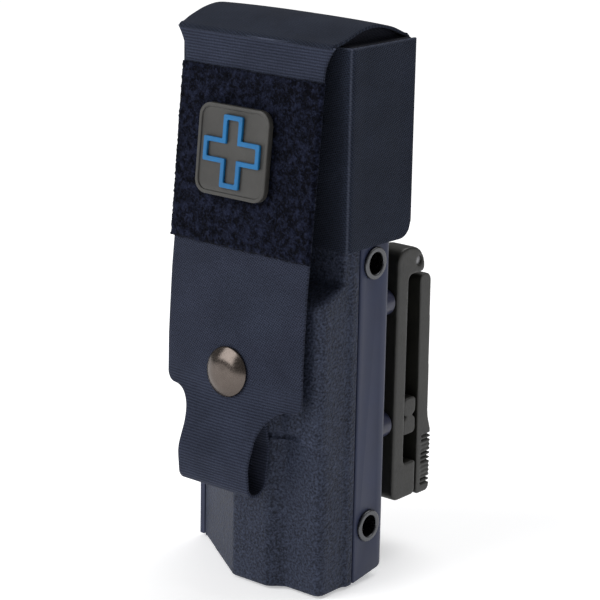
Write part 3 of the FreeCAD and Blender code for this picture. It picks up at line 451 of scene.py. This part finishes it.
def smoothPath(points, step):
    # an even, smooth run of points through the given ones
    knots = [Vector(p) for p in points]
    padded = [knots[0] * 2 - knots[1]] + knots + [knots[-1] * 2 - knots[-2]]
    run = [knots[0]]
    for i in range(1, len(padded) - 2):
        p0, p1, p2, p3 = padded[i - 1:i + 3]
        count = max(1, round((p2 - p1).length / step))
        for k in range(1, count + 1):
            t = k / count
            run.append(0.5 * (2 * p1 + (p2 - p0) * t + (2 * p0 - 5 * p1 + 4 * p2 - p3) * t * t
                              + (3 * p1 - p0 - 3 * p2 + p3) * t ** 3))
    return run


def lengths(path):
    total, out = 0.0, [0.0]
    for a, b in zip(path, path[1:]):
        total += (b - a).length
        out.append(total)
    return out


def clothFromPlace(thing):
    # weave that follows a moulded or padded block: across = x + y, along = z
    setCloth(thing.data, [((v.co.x + v.co.y) / mm, v.co.z / mm, 0) for v in thing.data.vertices])


pad = {
    "left": 3.0, "right": 23.0, "low": 47.3, "high": 84.0,
    "ease": (5, 3, 2, 6),  # how far it takes to fade at the left, right, low and high sides
    "groove": 1.8, "rise": 0.8, "spread": 1.1,
    "front": -4,  # only the skin ahead of this moves
}


def pressPad(shell):
    # the raised pad beside the strap, with the soft groove that the mould leaves under it
    left, right, low, high = (pad[side] for side in ("left", "right", "low", "high"))
    easeLeft, easeRight, easeLow, easeHigh = pad["ease"]
    acrossStops = [(left, 0), (left + easeLeft, 1), (right - easeRight, 1), (right, 0)]
    upStops = [(low, 0), (low + easeLow, 1), (high - easeHigh, 1), (high, 0)]
    for vertex in shell.data.vertices:
        x, y, z = (vertex.co - datum) / mm
        if y > pad["front"]:
            continue
        groove = pad["groove"] * math.exp(-((z - low) / pad["spread"]) ** 2)
        rise = pad["rise"] * between(upStops, z)
        vertex.co.y += (groove - rise) * between(acrossStops, x) * mm


# each CAD node that keeps its own shape: melted where it has a grid, otherwise with rolled edges where it
# has a bevel
hardPieces = {
    "front_shell": dict(material="bulge", body="case", slotName="shell", grid=0.5, rounds=8),
    "rear_shell": dict(material="flange", body="case", slotName="shell", bevel=0.35, segments=3, angle=40),
    "side_eyelets": dict(material="eyelet", body="case", slotName="gunmetal"),
    "snap_stud": dict(material="gunmetal", body="case", slotName="gunmetal"),
    "hood_rivets": dict(material="gunmetal", body="case", slotName="gunmetal"),
    "clip_frame": dict(material="clip", body="case", slotName="clip", grid=0.4, rounds=16),
    "clip_gate": dict(material="clip", body="gate", slotName="clip", grid=0.27, rounds=5),
    "lock_slide": dict(material="clip", body="lock", slotName="clip", bevel=0.25),
    "belt_bars": dict(material="clip", body="case", slotName="clip", grid=0.3, rounds=9),
    "clip_spacers": dict(material="spacer", body="case", slotName="spacer"),
    "clip_screws": dict(material="steel", body="case", slotName="steel"),
    "clip_nuts": dict(material="steel", body="case", slotName="steel"),
    "clip_hinge_pin": dict(material="steel", body="case", slotName="steel", bevel=0.15),
    "snap_cap": dict(material="gunmetal", body="strap", slotName="gunmetal", grid=0.2, rounds=8),
    "snap_socket": dict(material="gunmetal", body="strap", slotName="gunmetal"),
    "patch_base": dict(material="rubber", body="strap", slotName="patch", bevel=0.22, angle=40),
    "patch_cross": dict(material="blue", body="strap", slotName="cross", bevel=0.3, segments=3, angle=40),
    "patch_backing": dict(material="hook", body="strap", slotName="loop", bevel=0.2, angle=40),
    "tq_windlass": dict(material="hardware", body="case", slotName="hardware", bevel=0.3),
    "tq_rod_clip": dict(material="hardware", body="case", slotName="hardware", bevel=0.3),
    "tq_stabilizer": dict(material="hardware", body="case", slotName="hardware", bevel=0.4),
    "tq_buckle": dict(material="hardware", body="case", slotName="hardware", bevel=0.4),
    "hood_anchor": dict(material="lining", body="case", slotName="fabric", bevel=1.0, segments=3),
}
for node, piece in hardPieces.items():
    made = melted(node, **piece) if "grid" in piece else softened(node, **piece)
    if node == "front_shell":
        pressPad(made)
    if node == "hood_anchor":
        clothFromPlace(made)
print("shells and hardware done")


# millimetres from the case's datum
hood = {
    "half": 31.35, "front": 0.45, "back": 29.35, "low": 102.7, "high": 160.9,
    "corner": 1.3, "rearCorner": 5.0, "thickness": 0.9,
    "sag": 0.45, "hollow": 0.35,  # how far the side walls wave, and how far they draw in
    "ease": 6,  # both fade out over this distance from a fold
    "wallRows": 56, "topColumns": 48, "gussetColumns": 30,
    "settle": 0.35, "ripple": 0.3,  # how far the top drops towards its open ends, and how far it waves
}
# middle of the top panel from the crease to the fold at the back, as (y, z)
archLine = [(-4.6, 160.75), (-4.1, 161.5), (-1.2, 162.5), (3.0, 164.0), (7.3, 165.3), (12.2, 166.0),
            (16.6, 165.7), (21.2, 164.6), (25.3, 162.9), (27.6, 161.7), (28.7, 160.3), (28.95, 158.4)]


def hoodWalls():
    edge = hood["half"]
    plan = roundedPath([(-edge, hood["back"]), (-edge, hood["front"], hood["corner"]),
                        (edge, hood["front"], hood["corner"]), (edge, hood["back"])], 1.0)
    run = lengths(plan)
    middle = run[-1] / 2
    rows, cloth = [], []
    for r in range(hood["wallRows"] + 1):
        t = r / hood["wallRows"]
        row, flat = [], []
        for point, along in zip(plan, run):
            x, y = point
            bottom = hood["low"]
            past = y - (hood["back"] - hood["rearCorner"])
            if past > 0:
                bottom += hood["rearCorner"] - math.sqrt(max(0, hood["rearCorner"] ** 2 - past ** 2))
            z = bottom + (hood["high"] - bottom) * t
            # the stiff cloth isn't quite flat between its folds
            inner = min(1, (y - hood["front"]) / hood["ease"]) * min(1, (hood["back"] - y) / hood["ease"])
            inner = max(0, inner) if y > 1 else 0
            wave = noise.noise(Vector((x * 0.02 + 3, y * 0.06, z * 0.035))) * hood["sag"] * inner
            hollow = -hood["hollow"] * inner * math.sin(math.pi * t)
            side = 1 if x > 0 else -1
            row.append(casePoint(x + side * (wave + hollow), y, z))
            flat.append((along - middle, z))
        rows.append(row)
        cloth.append(flat)
    walls = sheetMesh("hood_walls", rows, cloth, "walls")
    thicken(walls, hood["thickness"])
    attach(walls, "hood")
    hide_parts("hood_side_right", "hood_side_left", "hood_front")


def hoodGusset(side):
    # the folded web that closes the arch over a side wall
    first, last, dip = 0.7, hood["back"] - 1.7, 0.25
    rows, cloth = [], []
    for i in range(hood["gussetColumns"]):
        t = i / (hood["gussetColumns"] - 1)
        y = first + (last - first) * t
        rise = max(161.0, between(archLine[1:10], y) - hood["thickness"])
        line = [(31.2, 160.55), (30.7, 160.85), (29.6, 160.8), (28.6, 160.75), (27.75, 160.85),
                (27.4, 161.2), (27.35, max(161.25, (161 + rise) / 2)), (27.3, max(161.3, rise))]
        sink = dip * math.sin(math.pi * t)
        rows.append([casePoint(side * x, y, z - sink * (x < 30)) for x, z in line])
        cloth.append([(x + z, y) for x, z in line])
    web = sheetMesh("hood_gusset_right" if side > 0 else "hood_gusset_left", rows, cloth, "lining")
    thicken(web, 0.6, edge=0.1)
    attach(web, "hood")
    return web


def hoodTop():
    # one sheet: the fixed back panel, the fold it hinges on, and the arched top
    back = [(28.95, 101.8), (28.95, 120.0), (28.95, 140.0), (28.95, 152.0), (28.95, 156.5)]
    path = smoothPath(back + list(reversed(archLine)), 0.9)
    run = lengths(path)
    # half of the width at a distance along the sheet, from the bottom of the back panel
    halfWidth = [(0, 28.6), (1.6, 30.1), (3.0, 30.4), (53, 30.4), (59, 29.7), (63, 29.4),
                 (88.5, 29.4), (93.5, 28.6), (99, 28.4)]
    archHalf = 29.4
    columns = hood["topColumns"]
    rows, cloth = [], []
    for (y, z), along in zip(path, run):
        half = between(halfWidth, along)
        row, flat = [], []
        for c in range(columns + 1):
            x = half * (2 * c / columns - 1)
            sink = hood["settle"] * (abs(x) / archHalf) ** 4 if z > 161.8 else 0
            ripple = noise.noise(Vector((x * 0.035, along * 0.05, 7))) * hood["ripple"] if z > 161 else 0
            row.append(casePoint(x, y, z - sink + ripple))
            flat.append((x, along))
        rows.append(row)
        cloth.append(flat)
    top = sheetMesh("hood_top_and_back", rows, cloth, "weave")
    thicken(top, hood["thickness"])
    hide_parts("hood_top", "hood_back")
    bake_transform(top)


hoodWalls()
right = hoodGusset(1)
hoodGusset(-1)
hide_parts("hood_gussets")
hoodTop()
print("hood done")


# millimetres in the strap's plane; lengths run down from the crease
strap = {
    "half": 25.5, "topHalf": 28.8, "flare": 9,  # it widens to topHalf over this length below the brow
    "length": 104.6, "corner": 3.2, "shoulder": 22.0, "waist": 115.5, "tab": 13.3,
    "cutIn": (98.5, 117),  # where the sides cut in to the tab, and need more points
    "shift": 0.9, "tabShift": 0.3,  # how far it and its tab are set over towards +x
    "thickness": 0.9, "hang": 2.3, "hangHalf": 25.4,  # its lower corners hang back by this much
    "ripple": 0.25, "columns": 40,
}


def strapHalf(down, inTab):
    # half of the width at a distance below the crease
    if inTab or down > strap["waist"]:
        return strap["tab"]
    bend = down - (strap["length"] - strap["corner"])
    if bend <= 0:
        flare = max(0, 1 - down / strap["flare"]) ** 2
        return strap["half"] + (strap["topHalf"] - strap["half"]) * flare
    if down <= strap["length"]:
        return strap["half"] - strap["corner"] + math.sqrt(max(0, strap["corner"] ** 2 - bend ** 2))
    reach = strap["waist"] - strap["length"]
    share = (strap["waist"] - down) / reach
    return strap["shoulder"] - (strap["shoulder"] - strap["tab"]) * math.sqrt(max(0, 1 - share ** 2))


def strapSheet():
    # down the front, round the pull loop and up behind, as (y, z, radius)
    corners = [(0.0, 0.4), (0.0, -104.5, 16), (-4.65, -121.8, 9.6), (-2.7, -131.9, 3.3), (4.3, -130.2, 4.0),
               (4.7, -117.0, 8), (0.95, -106.0, 7), (0.95, -89.5)]
    path = roundedPath(corners, 0.7)
    cutStart, cutEnd = strap["cutIn"]
    fine = []
    for a, b in zip(path, path[1:]):
        pieces = 3 if cutStart < -a.y < cutEnd and a.x < 0.6 else 1
        fine += [a.lerp(b, k / pieces) for k in range(pieces)]
    path = fine + [path[-1]]
    run = lengths(path)
    turnAt = run[path.index(min(path, key=lambda p: p.y))]
    shiftStops = [(0, 0), (12, strap["shift"]), (103, strap["shift"]), (113, strap["tabShift"])]
    hangStops = [(70, 0.1), (90, 0.45), (104, 1), (112, 0.3), (118, 0)]
    columns = strap["columns"]
    rows, cloth = [], []
    for (y, z), along in zip(path, run):
        behind = along > turnAt
        half = strapHalf(-z, behind)
        lean = between(shiftStops, -z)
        row, flat = [], []
        for c in range(columns + 1):
            x = half * (2 * c / columns - 1) + lean
            curl = strap["hang"] * (x / strap["hangHalf"]) ** 2 * between(hangStops, -z)
            ripple = noise.noise(Vector((x * 0.05, z * 0.03, 2))) * strap["ripple"]
            row.append(strapPoint(x, y + (curl + ripple) * (0 if behind else 1), z))
            flat.append((x, along))
        rows.append(row)
        cloth.append(flat)
    sheet = sheetMesh("front_strap_sheet", rows, cloth, "strap")
    thicken(sheet, strap["thickness"])
    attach(sheet, "strap")
    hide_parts("front_strap")


field = {
    "half": 26.3, "top": 9.5, "bottom": 60.7, "thickness": 1.2, "step": 0.5,
    "nap": 0.4,  # how far tufts stand out or sink
    "edge": 0.8,  # the face rounds down over this width at the rim
    "frayed": 1.5, "fray": 0.35,  # tufts this near the rim stray by this much
    "under": 0.4, "face": 0.45,  # where the rim and the slab start, out from the strap's middle
}


def loopField():
    # a slab of nap: every point of its face is pushed about, and its edges are ragged
    across = int(2 * field["half"] / field["step"])
    down = int((field["bottom"] - field["top"]) / field["step"])
    rows, cloth = [], []
    for r in range(-1, down + 2):
        row, flat = [], []
        for c in range(-1, across + 2):
            u = min(max(c, 0), across) / across
            v = min(max(r, 0), down) / down
            x = field["half"] * (2 * u - 1) + strap["shift"]
            z = -(field["top"] + (field["bottom"] - field["top"]) * v)
            rim = c in (-1, across + 1) or r in (-1, down + 1)
            near = min(min(u, 1 - u) * 2 * field["half"], min(v, 1 - v) * (field["bottom"] - field["top"]))
            edge = min(1, (near / field["edge"]) ** 0.6)
            coarse = noise.noise(Vector((x * 1.3, z * 1.3, 0))) * 0.6
            fine = noise.noise(Vector((x * 3.1, z * 3.1, 5))) * 0.5
            tuft = noise.noise(Vector((x * 0.35, z * 0.35, 9))) * 0.35
            bulk = field["thickness"] * (0.45 + 0.55 * edge) + (coarse + fine + tuft) * field["nap"]
            y = -field["under"] if rim else -field["face"] - bulk
            fray = 0 if near > field["frayed"] else field["fray"]
            strayX = noise.noise(Vector((x, z, 20))) * fray
            strayZ = noise.noise(Vector((x, z, 31))) * fray
            row.append(strapPoint(x + strayX, y, z + strayZ))
            flat.append((x, z))
        rows.append(row)
        cloth.append(flat)
    nap = sheetMesh("loop_field_nap", rows, cloth, "fuzz")
    shadeByAngle(nap, 180)
    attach(nap, "strap")
    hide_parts("loop_field")


strapSheet()
loopField()
print("strap done")


# the folded tourniquet: half widths, thicknesses and depths behind the datum, in millimetres
tourniquet = {
    "half": 19, "thickness": 1.5, "front": 15.95, "middle": 17.0, "back": 18.05, "turn": 0.9,
    "bandHalf": 11, "bandThickness": 0.7, "bandDepth": 12.6, "bandLow": 40, "bandHigh": 108,
    "tipHalf": 18, "tipThickness": 1.4, "tipDepth": 16.7, "tipLow": 0.1, "tipHigh": 5.6,
}


def webbing(name, nodeName, path, half, thickness):
    steps = 16
    places = [half * (2 * c / steps - 1) for c in range(steps + 1)]
    rows = [[casePoint(x, y, z) for x in places] for y, z in path]
    cloth = [[(x, along) for x in places] for along in lengths(path)]
    band = sheetMesh(name, rows, cloth, "webbing")
    thicken(band, thickness, edge=0.2)
    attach(band, "case")
    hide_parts(nodeName)


def foldedStrap():
    tq = tourniquet
    low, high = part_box("tq_strap")
    top = (high.z - datum.z) / mm
    bottom = (low.z - datum.z) / mm + tq["turn"]
    fold = roundedPath([(tq["back"], top - 1), (tq["back"], bottom, 1.0), (tq["front"], bottom, 1.0),
                        (tq["front"], top - tq["turn"], 1.0), (tq["middle"], top - tq["turn"])], 1.5)
    band = roundedPath([(tq["bandDepth"], tq["bandLow"]), (tq["bandDepth"], tq["bandHigh"])], 4)
    tip = roundedPath([(tq["tipDepth"], top + tq["tipLow"]), (tq["tipDepth"], top + tq["tipHigh"])], 1)
    webbing("tq_strap_folds", "tq_strap", fold, tq["half"], tq["thickness"])
    webbing("tq_band_flat", "tq_inner_band", band, tq["bandHalf"], tq["bandThickness"])
    webbing("tq_tip_tab", "tq_strap_tip", tip, tq["tipHalf"], tq["tipThickness"])


foldedStrap()
tape = softened("tq_time_strap", "webbing", "case", "webbing", bevel=0.15)
clothFromPlace(tape)
print("tourniquet done")


white = (1, 1, 1, 1)
floorPatch = {"half": 6.0, "gap": 0.0008, "glow": 0.4}  # in metres; the gap is between it and the case


def stageMaterial():
    glow = floorPatch["glow"]
    shader = Shader("pale_floor", Roughness=0.9, Specular_IOR_Level=0.1, Emission_Strength=glow)
    shader.surface.inputs["Emission Color"].default_value = white
    speck = shader.noise(3, 2, 0.5)
    return shader.finish(shader.mix(rgb(247, 247, 248), rgb(252, 252, 253), speck))


def makeStage():
    mesh = bpy.data.meshes.new("floor")
    half = floorPatch["half"]
    z = cadBounds[0][2] - floorPatch["gap"]
    corners = [(-half, -half, z), (half, -half, z), (half, half, z), (-half, half, z)]
    mesh.from_pydata(corners, [], [(0, 1, 2, 3)])
    mesh.materials.append(stageMaterial())
    floor = bpy.data.objects.new("floor", mesh)
    bpy.context.collection.objects.link(floor)


def direction(azimuth, elevation):
    # from the object outwards, both in degrees; azimuth turns from the front towards +x
    az, el = math.radians(azimuth), math.radians(elevation)
    return Vector((math.sin(az) * math.cos(el), -math.cos(az) * math.cos(el), math.sin(el)))


# angles in degrees, distances and sizes in metres, power in watts
lights = {
    "key": {"azimuth": -32, "elevation": 32, "distance": 1.3, "size": (1.0, 1.0), "power": 11.5},
    "side": {"azimuth": 100, "elevation": 20, "distance": 1.4, "size": (0.7, 1.0), "power": 0.9},
    "behind": {"azimuth": 170, "elevation": 55, "distance": 1.6, "size": (1.2, 1.0), "power": 4},
}
sky = {"power": 1.05, "angle": 50, "tilt": -25, "glow": 0.2}  # a broad sun from above, and an even glow
lightAim = (0, 12, 85)  # millimetres from the case's datum


def makeLight(name, light):
    away = direction(light["azimuth"], light["elevation"])
    data = bpy.data.lights.new(name, "AREA")
    data.shape = "RECTANGLE"
    data.size, data.size_y = light["size"]
    data.energy = light["power"]
    lamp = bpy.data.objects.new(name, data)
    lamp.location = casePoint(*lightAim) + away * light["distance"]
    lamp.rotation_euler = (-away).to_track_quat("-Z", "Y").to_euler()
    bpy.context.collection.objects.link(lamp)


def makeSky():
    data = bpy.data.lights.new("sky", "SUN")
    data.energy = sky["power"]
    data.angle = math.radians(sky["angle"])
    sun = bpy.data.objects.new("sky", data)
    sun.rotation_euler = (math.radians(sky["tilt"]), 0, 0)
    bpy.context.collection.objects.link(sun)
    world = bpy.data.worlds.new("studio")
    world.use_nodes = True
    background = world.node_tree.nodes["Background"]
    background.inputs["Color"].default_value = white
    background.inputs["Strength"].default_value = sky["glow"]
    bpy.context.scene.world = world


# angles in degrees, the place in millimetres from the case's datum, the lens in millimetres
view = {"azimuth": 39.5, "elevation": 15.77, "roll": 1.09, "place": (417.2, -488.1, 264.8), "lens": 137.1}


def makeCamera():
    az, roll = math.radians(view["azimuth"]), math.radians(view["roll"])
    back = direction(view["azimuth"], view["elevation"])
    level = Vector((math.cos(az), math.sin(az), 0))
    above = back.cross(level)
    right = math.cos(roll) * level + math.sin(roll) * above
    up = -math.sin(roll) * level + math.cos(roll) * above
    turned = Matrix((right, up, back)).transposed().to_4x4()
    data = bpy.data.cameras.new("camera")
    data.sensor_width = 36
    data.lens = view["lens"]
    data.clip_start, data.clip_end = 0.05, 20
    camera = bpy.data.objects.new("camera", data)
    camera.matrix_world = Matrix.Translation(casePoint(*view["place"])) @ turned
    bpy.context.collection.objects.link(camera)
    bpy.context.scene.camera = camera


makeStage()
for name, light in lights.items():
    makeLight(name, light)
makeSky()
bpy.context.scene.view_settings.view_transform = "Standard"
makeCamera()
print("stage done")
